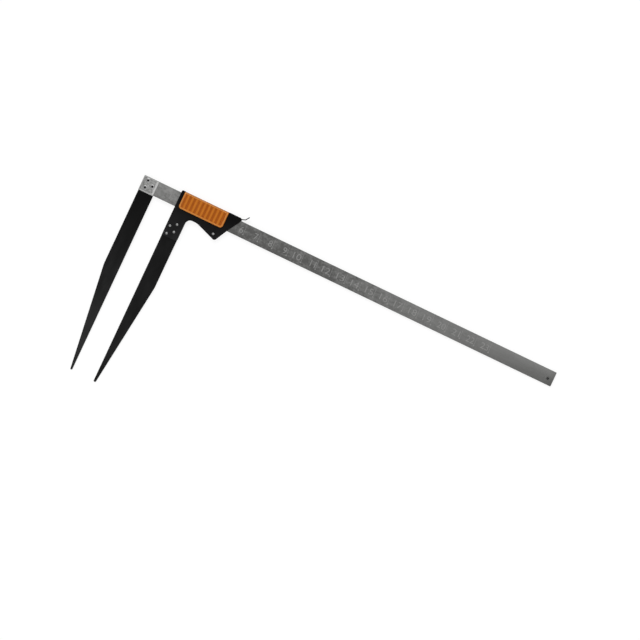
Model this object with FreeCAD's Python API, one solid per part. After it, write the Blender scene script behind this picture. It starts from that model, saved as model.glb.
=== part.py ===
import FreeCAD, Part
import math
import os

# Log caliper. X runs along the beam from the fixed jaw's measuring face, Y across the beam with the jaws
# towards -Y, and Z is the thickness, with the middle plane of beam and jaws at zero. The origin is the
# zero corner of the scale, where the fixed measuring face meets the beam's lower edge. Lengths are in mm.

INCH = 25.4

# Beam
BEAM_HEIGHT = 24.0
BEAM_THICK = 3.0
BEAM_END = 699.3
BEAM_EDGE = 0.3
BEAM_CORNER = 1.2

# Head, where beam and fixed jaw are half-lapped between two cover plates
HEAD_WIDTH = INCH
LAP_SHOULDER = -1.0
PLATE_LEFT = -25.7
PLATE_RIGHT = -0.2
PLATE_LOW = -0.7
PLATE_HIGH = 23.7
PLATE_THICK = 2.0
PLATE_FLAT_EDGE = 1.1
PLATE_BEVELS = {"left": 1.3, "right": 3.0, "bottom": 2.2, "top": 1.3}
SCREW_PLACES = [(-17.1, 18.6), (-7.0, 12.4), (-17.1, 6.4)]

# Countersunk screws, 4 mm, with a 2.5 mm hexagon socket
SCREW_R = 2.0
SCREW_CLEARANCE = 0.1
SCREW_HEAD_R = 3.75
SCREW_SOCKET_FLATS = 2.5
SCREW_SOCKET_DEPTH = 1.5
SCREW_END_GAP = 0.4

# Fixed jaw
JAW_THICK = 3.0
JAW_EDGE = 0.4
FIXED_JAW_DEPTH = 303.0
FIXED_JAW_KINK = 130.0
FIXED_TIP_WIDTH = 3.0

# Stop pin, a slotted spring pin near the beam's far end
STOP_X = 690.4
STOP_Y = 9.9
STOP_R = 1.5
STOP_WALL = 0.6
STOP_SLOT = 0.6
STOP_LENGTH = 9.0
STOP_CHAMFER = 0.3

# Slider, drawn from its own measuring face and placed at the opening
OPENING = 38.5
RUN_GAP = 0.05

# Housing, folded from sheet with a window in its top web for the grip
SHEET = 1.5
CHANNEL = 3.2
HOUSING_TOP = 28.25
HOUSING_RIGHT = 108.3
HOUSING_TOP_CORNER = 4.0
HOUSING_KINK = (89.7, -2.0)
HOUSING_LOW_CORNER = (79.3, -21.9)
HOUSING_FLAT_Y = -9.2
HOUSING_ROOT_R = 9.5
HOUSING_SLOPE_START = 43.4
CHEEK_END = -49.0
FOLD_R = 1.6
WEB_END = 101.0
WINDOW_LEFT = 5.9
WINDOW_RIGHT = 82.7
WINDOW_FLOOR = 26.0
LUG_PLACES = [19.4, 61.4]
LUG_WIDTH = 8.0
LUG_LOW = 5.0
LUG_HEIGHT = 5.0
LUG_REACH = 1.2

# Sliding jaw with its guide foot
SLIDE_JAW_THICK = 3.2
SLIDE_JAW_ROOT = 25.7
SLIDE_JAW_KINK = (25.3, -130.5)
SLIDE_JAW_DEPTH = 304.5
SLIDE_TIP_WIDTH = 3.6
FOOT_INSET = 0.8

# Rivets with low flat heads
RIVET_R = 1.5
RIVET_HEAD_R = 2.2
RIVET_HEAD_HEIGHT = 0.6
JAW_RIVETS = [(15.6, -24.5), (6.0, -30.8), (15.9, -37.2), (6.1, -43.9)]
CORNER_RIVET = (73.6, -13.1)

# Leaf spring, bowed between the web and the beam's upper edge, with a tab bent up outside
SPRING_THICK = 1.4
SPRING_WIDTH = 3.0
SPRING_LEFT = 1.5
SPRING_BOW_X = 42.0
SPRING_BOW_R = 230.0
SPRING_FLAT_X = 82.0
SPRING_RISE_X = 102.8
SPRING_BEND = (110.6, 28.6)
SPRING_TIP = (114.9, 34.8)

# Grip, a moulded saddle over the housing
GRIP_LEFT = 5.9
GRIP_RIGHT = 82.7
GRIP_TOP = 27.75
GRIP_LOW = 0.5
GRIP_THICK = 14.4
GRIP_CORNER = 4.8
GRIP_RIM = 2.6
GRIP_RECESS = 1.2
GRIP_TOP_ROUND = 2.4
GRIP_RIM_BEVEL = 0.8
GRIP_PANEL_CORNER = 2.6
RIB_COUNT = 9
RIB_PITCH = 7.35
RIB_WIDTH = 3.6
RIB_BEVEL = 0.8
SPRING_SLOT_TOP = 26.9

# What follows from these
BEAM_Z = BEAM_THICK / 2
PLATE_Z = BEAM_Z + PLATE_THICK
CHANNEL_Z = CHANNEL / 2
HOUSING_Z = CHANNEL_Z + SHEET
WEB_LOW = HOUSING_TOP - SHEET
GRIP_Z = GRIP_THICK / 2
UP = FreeCAD.Vector(0, 0, 1)


def point(x, y, z=0.0):
    return FreeCAD.Vector(x, y, z)


def rounded_edges(corners, z=0.0):
    """Edges of a closed outline through corners (x, y, radius), with a tangent arc at each radius."""
    edges = []
    starts = []
    ends = []
    middles = []
    for i, (x, y, radius) in enumerate(corners):
        here = point(x, y, z)
        before = point(*corners[i - 1][:2], z)
        after = point(*corners[(i + 1) % len(corners)][:2], z)
        to_before = (before - here).normalize()
        to_after = (after - here).normalize()
        half = to_before.getAngle(to_after) / 2
        reach = radius / math.tan(half)
        starts.append(here + to_before * reach)
        ends.append(here + to_after * reach)
        inward = (to_before + to_after).normalize()
        middles.append(here + inward * (radius / math.sin(half) - radius))
    for i, (x, y, radius) in enumerate(corners):
        if radius > 0:
            edges.append(Part.Arc(starts[i], middles[i], ends[i]).toShape())
        following = (i + 1) % len(corners)
        if ends[i].distanceToPoint(starts[following]) > 1e-6:
            edges.append(Part.LineSegment(ends[i], starts[following]).toShape())
    return edges


def outline(corners, z=0.0):
    return Part.Wire(Part.__sortEdges__(rounded_edges(corners, z)))


def plate(corners, low, high):
    """A flat solid with the given outline between two heights."""
    return Part.Face(outline(corners, low)).extrude(point(0, 0, high - low))


def along_x(corners, x0, x1):
    """A solid with the section (y, z, radius) run between two places on X."""
    turned = plate(corners, x0, x1)
    turned.rotate(point(0, 0, 0), point(1, 1, 1), 120)
    return turned


def box(x0, x1, y0, y1, z0, z1):
    return Part.makeBox(x1 - x0, y1 - y0, z1 - z0, point(x0, y0, z0))


def bar(x, y, radius, z0, z1):
    """A round bar along Z."""
    return Part.makeCylinder(radius, z1 - z0, point(x, y, z0), UP)


def edges_along(shape, direction, keep):
    """Straight edges of a shape that run along a direction and that keep() accepts."""
    found = []
    for edge in shape.Edges:
        if edge.Curve.TypeId != "Part::GeomLine":
            continue
        along = (edge.Vertexes[-1].Point - edge.Vertexes[0].Point).normalize()
        if abs(abs(along.dot(direction)) - 1) < 1e-6 and keep(edge):
            found.append(edge)
    return found


def edges_at_height(shape, height):
    """All edges that lie flat at one height above or below the middle plane."""
    flat = []
    for edge in shape.Edges:
        limits = edge.BoundBox
        if abs(limits.ZMin - height) < 1e-6 and abs(limits.ZMax - height) < 1e-6:
            flat.append(edge)
    return flat


def beam():
    """Flat bar with its front half left on at the head, screw holes, and a hole for the stop pin."""
    shape = plate(
        [
            (-HEAD_WIDTH, 0, 0),
            (BEAM_END, 0, BEAM_CORNER),
            (BEAM_END, BEAM_HEIGHT, BEAM_CORNER),
            (-HEAD_WIDTH, BEAM_HEIGHT, 0),
        ],
        -BEAM_Z,
        BEAM_Z,
    )
    long_edges = edges_along(shape, point(1, 0, 0), lambda e: e.Length > BEAM_END)
    shape = shape.makeChamfer(BEAM_EDGE, long_edges)
    shape = shape.cut(box(-HEAD_WIDTH - 1, LAP_SHOULDER, -1, BEAM_HEIGHT + 1, -BEAM_Z - 1, 0))
    for x, y in SCREW_PLACES:
        shape = shape.cut(bar(x, y, SCREW_R + SCREW_CLEARANCE, -BEAM_Z, BEAM_Z))
    return shape.cut(bar(STOP_X, STOP_Y, STOP_R, -BEAM_Z, BEAM_Z))


def fixed_jaw():
    """Tapering blade with a half-thickness tongue that laps the beam's end."""
    half = JAW_THICK / 2
    blade = plate(
        [
            (0, 0, 0),
            (0, -FIXED_JAW_DEPTH, 1.2),
            (-FIXED_TIP_WIDTH, -FIXED_JAW_DEPTH, 0.8),
            (-HEAD_WIDTH, -FIXED_JAW_KINK, 30.0),
            (-HEAD_WIDTH, 0, 0),
        ],
        -half,
        half,
    )
    outer = [e for z in (-half, half) for e in edges_at_height(blade, z) if e.BoundBox.YMin < -1]
    blade = blade.makeChamfer(JAW_EDGE, outer)
    tongue = box(-HEAD_WIDTH, LAP_SHOULDER, 0, BEAM_HEIGHT, -half, 0)
    shape = blade.fuse(tongue).removeSplitter()
    for x, y in SCREW_PLACES:
        shape = shape.cut(bar(x, y, SCREW_R + SCREW_CLEARANCE, -half, half))
    return shape


def bevelled_plate():
    """Cover plate with four bevels of unlike width, lying on the middle plane's front side."""
    base = box(PLATE_LEFT, PLATE_RIGHT, PLATE_LOW, PLATE_HIGH, BEAM_Z, BEAM_Z + PLATE_FLAT_EDGE)
    rings = []
    for share, z in ((0, BEAM_Z + PLATE_FLAT_EDGE), (1, PLATE_Z)):
        left = PLATE_LEFT + share * PLATE_BEVELS["left"]
        right = PLATE_RIGHT - share * PLATE_BEVELS["right"]
        bottom = PLATE_LOW + share * PLATE_BEVELS["bottom"]
        top = PLATE_HIGH - share * PLATE_BEVELS["top"]
        rings.append(outline([(left, bottom, 0), (right, bottom, 0), (right, top, 0), (left, top, 0)], z))
    return base.fuse(Part.makeLoft(rings, True, True)).removeSplitter()


def screw_head(x, y, extra):
    """Countersunk head under the front plate's face, with some extra room when it is cut as a seat."""
    depth = SCREW_HEAD_R - SCREW_R
    return Part.makeCone(SCREW_R, SCREW_HEAD_R + extra, depth + extra, point(x, y, PLATE_Z - depth), UP)


def head_plate_front():
    shape = bevelled_plate()
    for x, y in SCREW_PLACES:
        shape = shape.cut(bar(x, y, SCREW_R + SCREW_CLEARANCE, 0, PLATE_Z + 1))
        shape = shape.cut(screw_head(x, y, 0))
    return shape


def head_plate_back():
    shape = bevelled_plate().mirror(point(0, 0, 0), UP)
    for x, y in SCREW_PLACES:
        shape = shape.cut(bar(x, y, SCREW_R, -PLATE_Z - 1, 0))
    return shape


def head_screw(x, y):
    shank = bar(x, y, SCREW_R, -PLATE_Z + SCREW_END_GAP, PLATE_Z - 1)
    across_corners = SCREW_SOCKET_FLATS / math.sqrt(3)
    hexagon = []
    for i in range(6):
        turn = math.radians(60 * i)
        hexagon.append((x + across_corners * math.cos(turn), y + across_corners * math.sin(turn), 0))
    socket = plate(hexagon, PLATE_Z - SCREW_SOCKET_DEPTH, PLATE_Z + 1)
    return shank.fuse(screw_head(x, y, 0)).removeSplitter().cut(socket)


def stop_pin():
    """Slotted tube pressed through the beam, standing out the same on both faces."""
    half = STOP_LENGTH / 2
    solid = bar(STOP_X, STOP_Y, STOP_R, -half, half)
    rims = [e for z in (-half, half) for e in edges_at_height(solid, z)]
    tube = solid.makeChamfer(STOP_CHAMFER, rims).cut(bar(STOP_X, STOP_Y, STOP_R - STOP_WALL, -half, half))
    slot = box(STOP_X, STOP_X + STOP_R + 1, STOP_Y - STOP_SLOT / 2, STOP_Y + STOP_SLOT / 2, -half, half)
    return tube.cut(slot)


def placed(shape):
    """A slider piece, moved from its own measuring face to the opening at rest."""
    return shape.translated(point(OPENING, 0, 0))


def lug_windows(z0, z1, ease):
    """Blocks at the places where the grip's lugs catch in one cheek."""
    blocks = []
    for x in LUG_PLACES:
        blocks.append(
            box(x + ease, x + LUG_WIDTH - ease, LUG_LOW + ease, LUG_LOW + LUG_HEIGHT - ease, z0, z1)
        )
    return blocks


def slider_housing():
    """Two cheeks and a top web folded from one sheet, open below and at both ends for the beam."""
    cheeks = plate(
        [
            (0, HOUSING_TOP, 1.5),
            (HOUSING_RIGHT, HOUSING_TOP, HOUSING_TOP_CORNER),
            (*HOUSING_KINK, 20.0),
            (*HOUSING_LOW_CORNER, 3.0),
            (HOUSING_SLOPE_START, HOUSING_FLAT_Y, 24.0),
            (SLIDE_JAW_ROOT, HOUSING_FLAT_Y, HOUSING_ROOT_R),
            (SLIDE_JAW_ROOT, CHEEK_END, 3.0),
            (0, CHEEK_END, 0.6),
        ],
        -HOUSING_Z,
        HOUSING_Z,
    )
    below = CHEEK_END - 1
    folded = along_x(
        [
            (below, -HOUSING_Z, 0),
            (HOUSING_TOP, -HOUSING_Z, FOLD_R),
            (HOUSING_TOP, HOUSING_Z, FOLD_R),
            (below, HOUSING_Z, 0),
            (below, CHANNEL_Z, 0),
            (WEB_LOW, CHANNEL_Z, FOLD_R - SHEET),
            (WEB_LOW, -CHANNEL_Z, FOLD_R - SHEET),
            (below, -CHANNEL_Z, 0),
        ],
        0,
        HOUSING_RIGHT,
    )
    shape = cheeks.common(folded)
    shape = shape.cut(box(WEB_END, HOUSING_RIGHT, WEB_LOW - 1, HOUSING_TOP + 1, -CHANNEL_Z, CHANNEL_Z))
    shape = shape.cut(
        box(WINDOW_LEFT, WINDOW_RIGHT, WINDOW_FLOOR, HOUSING_TOP + 1, -HOUSING_Z - 1, HOUSING_Z + 1)
    )
    for x, y in JAW_RIVETS + [CORNER_RIVET]:
        shape = shape.cut(bar(x, y, RIVET_R, -HOUSING_Z, HOUSING_Z))
    for side in (-1, 1):
        low, high = sorted((side * CHANNEL_Z, side * HOUSING_Z))
        for block in lug_windows(low, high, 0):
            shape = shape.cut(block)
    return placed(shape)


def sliding_jaw():
    """Blade and guide foot in one plate; the foot's upper edge runs along the beam's lower edge."""
    half = SLIDE_JAW_THICK / 2
    slant = (HOUSING_KINK[0] - HOUSING_LOW_CORNER[0]) / (HOUSING_KINK[1] - HOUSING_LOW_CORNER[1])
    inset = FOOT_INSET * math.hypot(1, slant)
    foot_right = HOUSING_KINK[0] - slant * HOUSING_KINK[1] - inset
    foot_low = HOUSING_LOW_CORNER[1] + FOOT_INSET * 1.3
    foot_low_x = HOUSING_LOW_CORNER[0] + slant * (foot_low - HOUSING_LOW_CORNER[1]) - inset
    shape = plate(
        [
            (0, -RUN_GAP, 0),
            (0, -SLIDE_JAW_DEPTH, 1.2),
            (SLIDE_TIP_WIDTH, -SLIDE_JAW_DEPTH, 1.4),
            (*SLIDE_JAW_KINK, 30.0),
            (SLIDE_JAW_ROOT, HOUSING_FLAT_Y + FOOT_INSET, HOUSING_ROOT_R + FOOT_INSET),
            (HOUSING_SLOPE_START, HOUSING_FLAT_Y + FOOT_INSET, 23.0),
            (foot_low_x, foot_low, 2.4),
            (foot_right, -RUN_GAP, 0.5),
        ],
        -half,
        half,
    )
    free = [
        e
        for z in (-half, half)
        for e in edges_at_height(shape, z)
        if e.BoundBox.YMin < CHEEK_END
    ]
    shape = shape.makeChamfer(JAW_EDGE, free)
    for x, y in JAW_RIVETS + [CORNER_RIVET]:
        shape = shape.cut(bar(x, y, RIVET_R, -half, half))
    return placed(shape)


def rivet(x, y):
    """Shank through both cheeks with a low flat head on each."""
    reach = HOUSING_Z + RIVET_HEAD_HEIGHT
    shank = bar(x, y, RIVET_R, -HOUSING_Z, HOUSING_Z)
    heads = [bar(x, y, RIVET_HEAD_R, -reach, -HOUSING_Z), bar(x, y, RIVET_HEAD_R, HOUSING_Z, reach)]
    return placed(shank.multiFuse(heads).removeSplitter())


def strip_outline(path, thick):
    """Corners of a bent strip: its path (x, y, radius) offset to both sides and joined at the ends."""
    sides = {1: [], -1: []}
    for i, (x, y, radius) in enumerate(path):
        here = point(x, y)
        forward = point(*path[i + 1][:2]) - here if i + 1 < len(path) else None
        backward = here - point(*path[i - 1][:2]) if i else None
        into = (backward if backward else forward).normalize()
        out = (forward if forward else backward).normalize()
        turn = math.atan2(into.x * out.y - into.y * out.x, into.dot(out))
        normal = (point(-into.y, into.x) + point(-out.y, out.x)).normalize()
        reach = thick / 2 / math.cos(turn / 2)
        for side in (1, -1):
            corner = here + normal * (side * reach)
            bend = radius - math.copysign(thick / 2, turn) * side if radius else 0
            sides[side].append((corner.x, corner.y, bend))
    return sides[-1] + sides[1][::-1]


def leaf_spring():
    """Bowed strip that bears on the beam's upper edge, held under the web, with a tab bent up outside."""
    web_line = WEB_LOW - SPRING_THICK / 2
    lowest = BEAM_HEIGHT + RUN_GAP / 2 + SPRING_THICK / 2
    slope = 0.07
    for _ in range(20):
        lift = SPRING_BOW_R * (1 / math.cos(math.atan(slope)) - 1)
        slope = (web_line - lowest + lift) / (SPRING_BOW_X - SPRING_LEFT)
    path = [
        (SPRING_LEFT, web_line, 0),
        (SPRING_BOW_X, lowest - lift, SPRING_BOW_R),
        (SPRING_FLAT_X, web_line, 90.0),
        (SPRING_RISE_X, web_line, 12.0),
        (*SPRING_BEND, 2.6),
        (*SPRING_TIP, 0),
    ]
    half = SPRING_WIDTH / 2
    shape = plate(strip_outline(path, SPRING_THICK), -half, half)
    return placed(shape)


def grip_ribs(side):
    """The row of raised ribs in the recessed panel of one face."""
    middle = (GRIP_LEFT + GRIP_RIGHT) / 2
    floor = GRIP_Z - GRIP_RECESS
    ribs = []
    for i in range(RIB_COUNT):
        x = middle + (i - (RIB_COUNT - 1) / 2) * RIB_PITCH
        rib = box(
            x - RIB_WIDTH / 2,
            x + RIB_WIDTH / 2,
            GRIP_LOW + GRIP_RIM,
            GRIP_TOP - GRIP_RIM,
            floor - 0.5,
            GRIP_Z,
        )
        crests = edges_along(rib, point(0, 1, 0), lambda e: e.BoundBox.ZMin > GRIP_Z - 0.01)
        rib = rib.makeChamfer(RIB_BEVEL, crests)
        ribs.append(rib if side > 0 else rib.mirror(point(0, 0, 0), UP))
    return ribs


def grip():
    """Moulded saddle: walls and top over the housing, a rim and ribs on both faces, lugs inside."""
    shape = plate(
        [
            (GRIP_LEFT, GRIP_TOP, 0),
            (GRIP_RIGHT, GRIP_TOP, 0),
            (GRIP_RIGHT, GRIP_LOW, GRIP_CORNER),
            (GRIP_LEFT, GRIP_LOW, GRIP_CORNER),
        ],
        -GRIP_Z,
        GRIP_Z,
    )
    top_edges = edges_along(
        shape, point(1, 0, 0), lambda e: e.BoundBox.YMin > GRIP_TOP - 0.01
    )
    shape = shape.makeFillet(GRIP_TOP_ROUND, top_edges)
    rims = [e for z in (-GRIP_Z, GRIP_Z) for e in edges_at_height(shape, z)]
    rims = [e for e in rims if e.BoundBox.YMin < GRIP_TOP - GRIP_TOP_ROUND - 0.1]
    shape = shape.makeChamfer(GRIP_RIM_BEVEL, rims)
    panel = [
        (GRIP_LEFT + GRIP_RIM, GRIP_TOP - GRIP_RIM, 1.0),
        (GRIP_RIGHT - GRIP_RIM, GRIP_TOP - GRIP_RIM, 1.0),
        (GRIP_RIGHT - GRIP_RIM, GRIP_LOW + GRIP_RIM, GRIP_PANEL_CORNER),
        (GRIP_LEFT + GRIP_RIM, GRIP_LOW + GRIP_RIM, GRIP_PANEL_CORNER),
    ]
    for side in (-1, 1):
        low, high = sorted((side * (GRIP_Z - GRIP_RECESS), side * (GRIP_Z + 1)))
        shape = shape.cut(plate(panel, low, high))
        shape = shape.multiFuse(grip_ribs(side)).removeSplitter()
    shape = shape.cut(
        box(GRIP_LEFT - 1, GRIP_RIGHT + 1, GRIP_LOW - 1, WINDOW_FLOOR, -HOUSING_Z, HOUSING_Z)
    )
    shape = shape.cut(
        box(GRIP_LEFT - 1, GRIP_RIGHT + 1, WINDOW_FLOOR - 1, SPRING_SLOT_TOP, -CHANNEL_Z, CHANNEL_Z)
    )
    for side in (-1, 1):
        low, high = sorted((side * (HOUSING_Z - LUG_REACH), side * (HOUSING_Z + 0.5)))
        shape = shape.multiFuse(lug_windows(low, high, 0.1)).removeSplitter()
    return placed(shape)


def numbered(name, places, make):
    """One piece for each place, named in order."""
    return {f"{name}_{i}": make(x, y) for i, (x, y) in enumerate(places, 1)}


def main():
    os.makedirs("parts", exist_ok=True)
    pieces = {
        "beam": beam(),
        "fixed_jaw": fixed_jaw(),
        "head_plate_front": head_plate_front(),
        "head_plate_back": head_plate_back(),
        **numbered("head_screw", SCREW_PLACES, head_screw),
        "stop_pin": stop_pin(),
        "slider_housing": slider_housing(),
        "sliding_jaw": sliding_jaw(),
        **numbered("jaw_rivet", JAW_RIVETS, rivet),
        "corner_rivet": rivet(*CORNER_RIVET),
        "leaf_spring": leaf_spring(),
        "grip": grip(),
    }
    for name, shape in pieces.items():
        solids = shape.Solids
        print(name, "solids", len(solids), "volume", round(shape.Volume, 1), "valid", shape.isValid())
        (solids[0] if len(solids) == 1 else shape).exportStep(f"parts/{name}.step")


main()
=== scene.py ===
import logging
import math
from collections.abc import Sequence
from dataclasses import dataclass
from enum import Enum
from typing import NamedTuple

import bmesh
import bpy
from mathutils import Matrix, Vector


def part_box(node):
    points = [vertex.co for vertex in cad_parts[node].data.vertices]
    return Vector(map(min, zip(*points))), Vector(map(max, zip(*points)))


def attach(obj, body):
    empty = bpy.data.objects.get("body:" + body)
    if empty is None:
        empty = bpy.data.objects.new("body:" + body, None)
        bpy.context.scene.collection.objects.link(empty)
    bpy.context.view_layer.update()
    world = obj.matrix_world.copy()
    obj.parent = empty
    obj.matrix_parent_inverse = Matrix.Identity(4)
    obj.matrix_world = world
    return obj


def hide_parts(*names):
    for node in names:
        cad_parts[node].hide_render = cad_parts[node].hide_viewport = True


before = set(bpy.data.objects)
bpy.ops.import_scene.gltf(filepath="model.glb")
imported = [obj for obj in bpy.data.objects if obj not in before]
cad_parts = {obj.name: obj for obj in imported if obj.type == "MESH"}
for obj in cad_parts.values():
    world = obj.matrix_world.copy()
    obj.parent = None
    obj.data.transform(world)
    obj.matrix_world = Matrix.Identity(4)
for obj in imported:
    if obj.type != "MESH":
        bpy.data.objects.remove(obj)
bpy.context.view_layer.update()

# The looks of a log caliper. The frame is the part's own: X along the beam from the fixed
# measuring face, Y across the beam away from the jaws, Z out of the face with the scale. Pieces
# have their sizes in millimetres, finishes have their places and depths in metres, and colours
# are display values from 0 to 255.

LOG = logging.getLogger("log_caliper")
MM = 0.001
INCH = 25.4
HALF_TURN = math.pi
CREASE = 0.6  # the angle in radians over which an edge stays sharp
NOISE_RANGE = (0.35, 0.65)
STREAK_RANGE = (0.3, 0.7)
Tone = tuple[float, float, float]
Triple = tuple[float, float, float]
Socket = bpy.types.NodeSocket


class Body(Enum):
    """The two bodies that move against each other."""

    BEAM = "beam"
    SLIDER = "slider"


class Face(Enum):
    """A face of the flat tool, with the sign of Z that it looks to."""

    FRONT = 1
    BACK = -1


def linear(tone: Tone) -> tuple[float, float, float, float]:
    """Turns a display colour into the renderer's own.

    Args:
        tone: Red, green and blue from 0 to 255.

    Returns:
        Linear red, green and blue with an alpha of one.
    """
    parts = []
    for value in tone:
        share = value / 255
        parts.append(share / 12.92 if share <= 0.04045 else ((share + 0.055) / 1.055) ** 2.4)
    return (parts[0], parts[1], parts[2], 1.0)


class Ramp(NamedTuple):
    """A value that goes from one number to another between two places, and holds beyond them."""

    start: float
    end: float
    first: float
    last: float


class NodeSheet:
    """Adds and joins the nodes of one tree."""

    def __init__(self, tree: bpy.types.NodeTree) -> None:
        """Starts on an empty tree."""
        self.tree = tree

    def add(
        self,
        kind: str,
        values: dict[str | int, object] | None = None,
        **settings: object,
    ) -> bpy.types.Node:
        """Adds one node.

        Args:
            kind: The node's type name.
            values: What goes into its inputs, by name or number. A socket is linked.
            settings: The node's own options.

        Returns:
            The new node.
        """
        node = self.tree.nodes.new(kind)
        for name, setting in settings.items():
            setattr(node, name, setting)
        for key, value in (values or {}).items():
            if isinstance(value, Socket):
                self.tree.links.new(value, node.inputs[key])
            else:
                node.inputs[key].default_value = value
        return node

    def calc(self, operation: str, *terms: object) -> Socket:
        """Adds a Math node.

        Args:
            operation: Its operation.
            terms: Its inputs, numbers or sockets.

        Returns:
            The result.
        """
        node = self.add("ShaderNodeMath", dict(enumerate(terms)), operation=operation)
        return node.outputs[0]

    def total(self, *terms: Socket) -> Socket:
        """Returns the sum of two or more values."""
        result = terms[0]
        for term in terms[1:]:
            result = self.calc("ADD", result, term)
        return result


class ShaderSheet(NodeSheet):
    """The node tree of one finish, on the piece's own coordinates."""

    def __init__(self, name: str) -> None:
        """Makes an empty material of that name."""
        self.material = bpy.data.materials.new(name)
        self.material.use_nodes = True
        self.material.node_tree.nodes.clear()
        super().__init__(self.material.node_tree)
        coordinates = self.add("ShaderNodeTexCoord").outputs
        self.place = coordinates["Object"]
        self.facing = coordinates["Normal"]

    def grain(self, per_metre: Triple, detail: float = 3.0, turn: float = 0.0) -> Socket:
        """Adds a noise of its own fineness along each axis.

        Args:
            per_metre: How many times it changes in a metre along X, Y and Z.
            detail: Its finer layers.
            turn: How far it is turned about Z, in radians.

        Returns:
            A value about one half.
        """
        placed = self.add(
            "ShaderNodeMapping",
            {"Vector": self.place, "Rotation": (0.0, 0.0, turn), "Scale": per_metre},
        )
        values = {
            "Vector": placed.outputs[0],
            "Scale": 1.0,
            "Detail": detail,
            "Roughness": 0.55,
        }
        return self.add("ShaderNodeTexNoise", values).outputs["Fac"]

    def spread(
        self, value: Socket, low: float, high: float, out_low: float, out_high: float
    ) -> Socket:
        """Maps a value from one range to another, held at its ends.

        Args:
            value: What is mapped.
            low: Start of the range that is read.
            high: End of the range that is read.
            out_low: The result at low.
            out_high: The result at high.

        Returns:
            The mapped value.
        """
        values = {
            "Value": value,
            "From Min": low,
            "From Max": high,
            "To Min": out_low,
            "To Max": out_high,
        }
        return self.add("ShaderNodeMapRange", values).outputs[0]

    def clouded(self, per_metre: Triple, detail: float, least: float, most: float) -> Socket:
        """Adds a noise between two values.

        Args:
            per_metre: How many times it changes in a metre along X, Y and Z.
            detail: Its finer layers.
            least: Its value in the hollows.
            most: Its value on the heights.

        Returns:
            The noise.
        """
        return self.spread(self.grain(per_metre, detail), *NOISE_RANGE, least, most)

    def blend(self, share: object, first: object, second: object) -> Socket:
        """Mixes two colours.

        Args:
            share: How much of the second shows.
            first: A colour or a socket.
            second: A colour or a socket.

        Returns:
            The mixed colour.
        """
        node = self.add("ShaderNodeMix", {0: share, 6: first, 7: second}, data_type="RGBA")
        return node.outputs[2]

    def part(self, vector: Socket, name: str) -> Socket:
        """Returns a vector's X, Y or Z."""
        return self.add("ShaderNodeSeparateXYZ", {0: vector}).outputs[name]

    def axis(self, name: str) -> Socket:
        """Returns the piece's X, Y or Z in metres."""
        return self.part(self.place, name)

    def flatness(self) -> Socket:
        """Returns one where a face looks along Z, either way, and zero where it looks across."""
        return self.calc("ABSOLUTE", self.part(self.facing, "Z"))

    def relief(self, height: Socket, depth: float) -> Socket:
        """Adds a bump.

        Args:
            height: Where the surface is high.
            depth: Its height in metres.

        Returns:
            The bumped normal.
        """
        values = {"Height": height, "Distance": depth, "Strength": 1.0}
        return self.add("ShaderNodeBump", values).outputs[0]

    def finish(self, values: dict[str, object]) -> bpy.types.Material:
        """Closes the tree with its surface.

        Args:
            values: The surface shader's inputs.

        Returns:
            The finished material.
        """
        shader = self.add("ShaderNodeBsdfPrincipled", dict(values))
        self.add("ShaderNodeOutputMaterial", {"Surface": shader.outputs[0]})
        return self.material


@dataclass(frozen=True)
class DrawnSteel:
    """Flat steel, brushed or rolled along one direction, with a little tarnish."""

    name: str
    dull: Tone
    bright: Tone
    brush: Triple
    roughness: float = 0.38
    variety: float = 1.0
    scratch_turn: float = 0.07
    scratch_share: float = 0.3
    blotches: Triple = (14.0, 60.0, 60.0)
    blotch_share: float = 0.4
    roughness_range: float = 0.07
    line_depth: float = 0.000008

    def toned(self, sheet: ShaderSheet, share: Socket) -> Socket:
        """Returns the share of the bright tone; steels with tones of their own change it."""
        return share

    def material(self) -> bpy.types.Material:
        """Returns the steel with its brush lines, blotches and fine scratches."""
        sheet = ShaderSheet(self.name)
        along, across, through = self.brush
        lines = sheet.grain(self.brush, 4.0)
        scratches = sheet.grain((along * 6, across * 0.6, through), 2.0, self.scratch_turn)
        streaks = sheet.total(
            sheet.calc("MULTIPLY", lines, 1 - self.scratch_share),
            sheet.calc("MULTIPLY", scratches, self.scratch_share),
        )
        share = sheet.total(
            sheet.spread(streaks, *STREAK_RANGE, 0.0, (1 - self.blotch_share) * self.variety),
            sheet.clouded(self.blotches, 3.0, 0.0, self.blotch_share * self.variety),
        )
        roughest = self.roughness + self.roughness_range
        smoothest = self.roughness - self.roughness_range
        return sheet.finish(
            {
                "Base Color": sheet.blend(
                    self.toned(sheet, share), linear(self.dull), linear(self.bright)
                ),
                "Metallic": 1.0,
                "Roughness": sheet.spread(streaks, *STREAK_RANGE, roughest, smoothest),
                "Normal": sheet.relief(lines, self.line_depth),
            }
        )


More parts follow.
